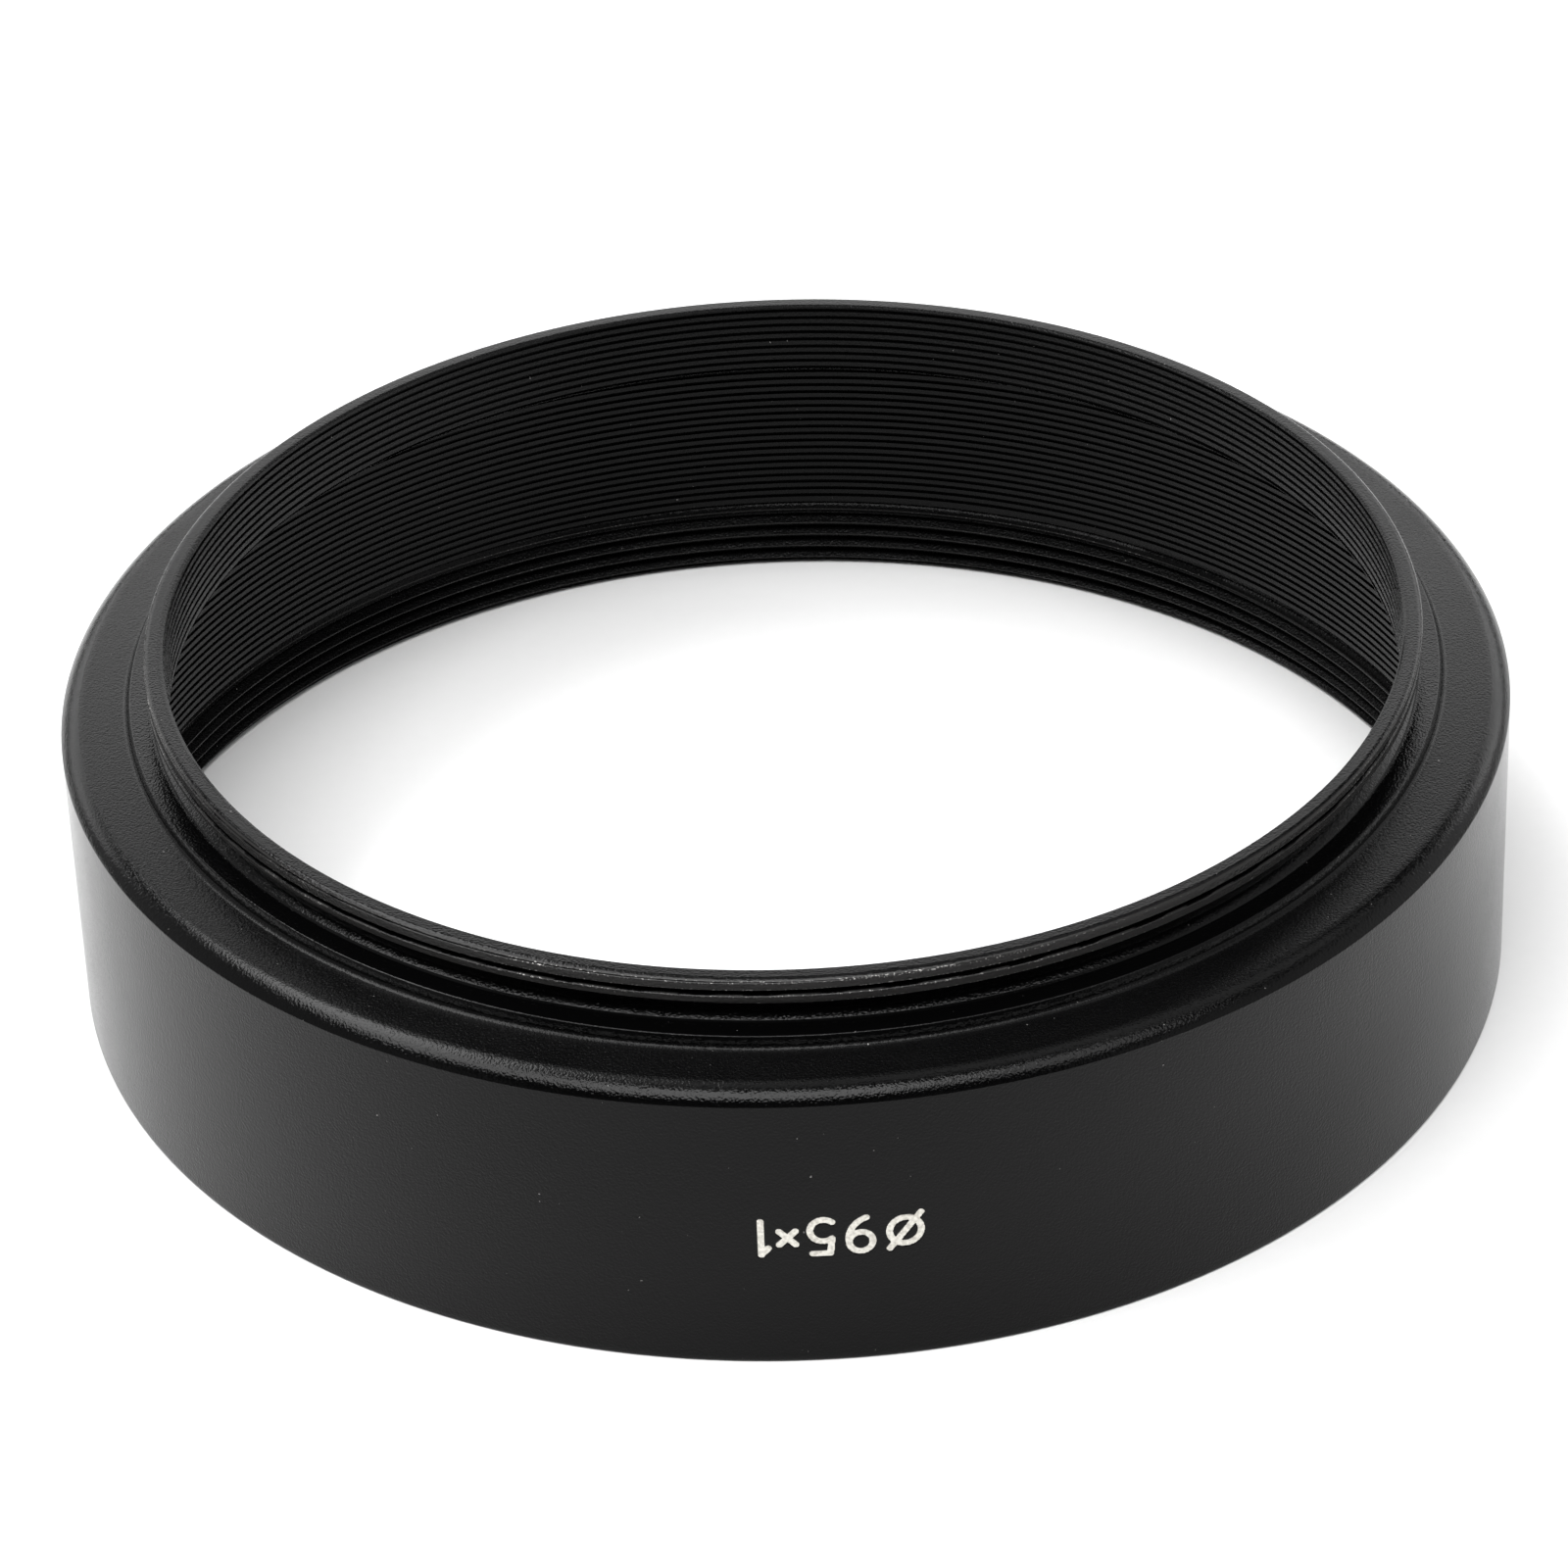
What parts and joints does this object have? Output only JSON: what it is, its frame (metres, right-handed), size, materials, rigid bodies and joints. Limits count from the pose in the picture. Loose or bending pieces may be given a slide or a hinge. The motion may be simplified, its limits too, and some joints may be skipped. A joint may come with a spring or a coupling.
{
  "type": "lens hood",
  "caption": "Round screw-in lens hood: a wide barrel with a sloping shoulder, a threaded neck with a seat flange, and fine grooves inside that keep out stray light.",
  "frame": {"origin": "centre of the front rim, in the plane that the hood rests on", "axes": "+Z along the optical axis, from the front opening to the thread that screws into the lens; the marking is near -Y"},
  "size_m": [0.0978, 0.0978, 0.0253],
  "materials": {
    "anodised_shell": "satin black anodised, bead blasted",
    "anodised_ring": "satin black anodised, turned",
    "marking_paint": "matte warm white paint in an engraved line"
  },
  "bodies": {
    "root": {"hood_shell": "anodised_shell", "mount_ring": "anodised_ring", "size_marking": "marking_paint"}
  },
  "joints": []
}
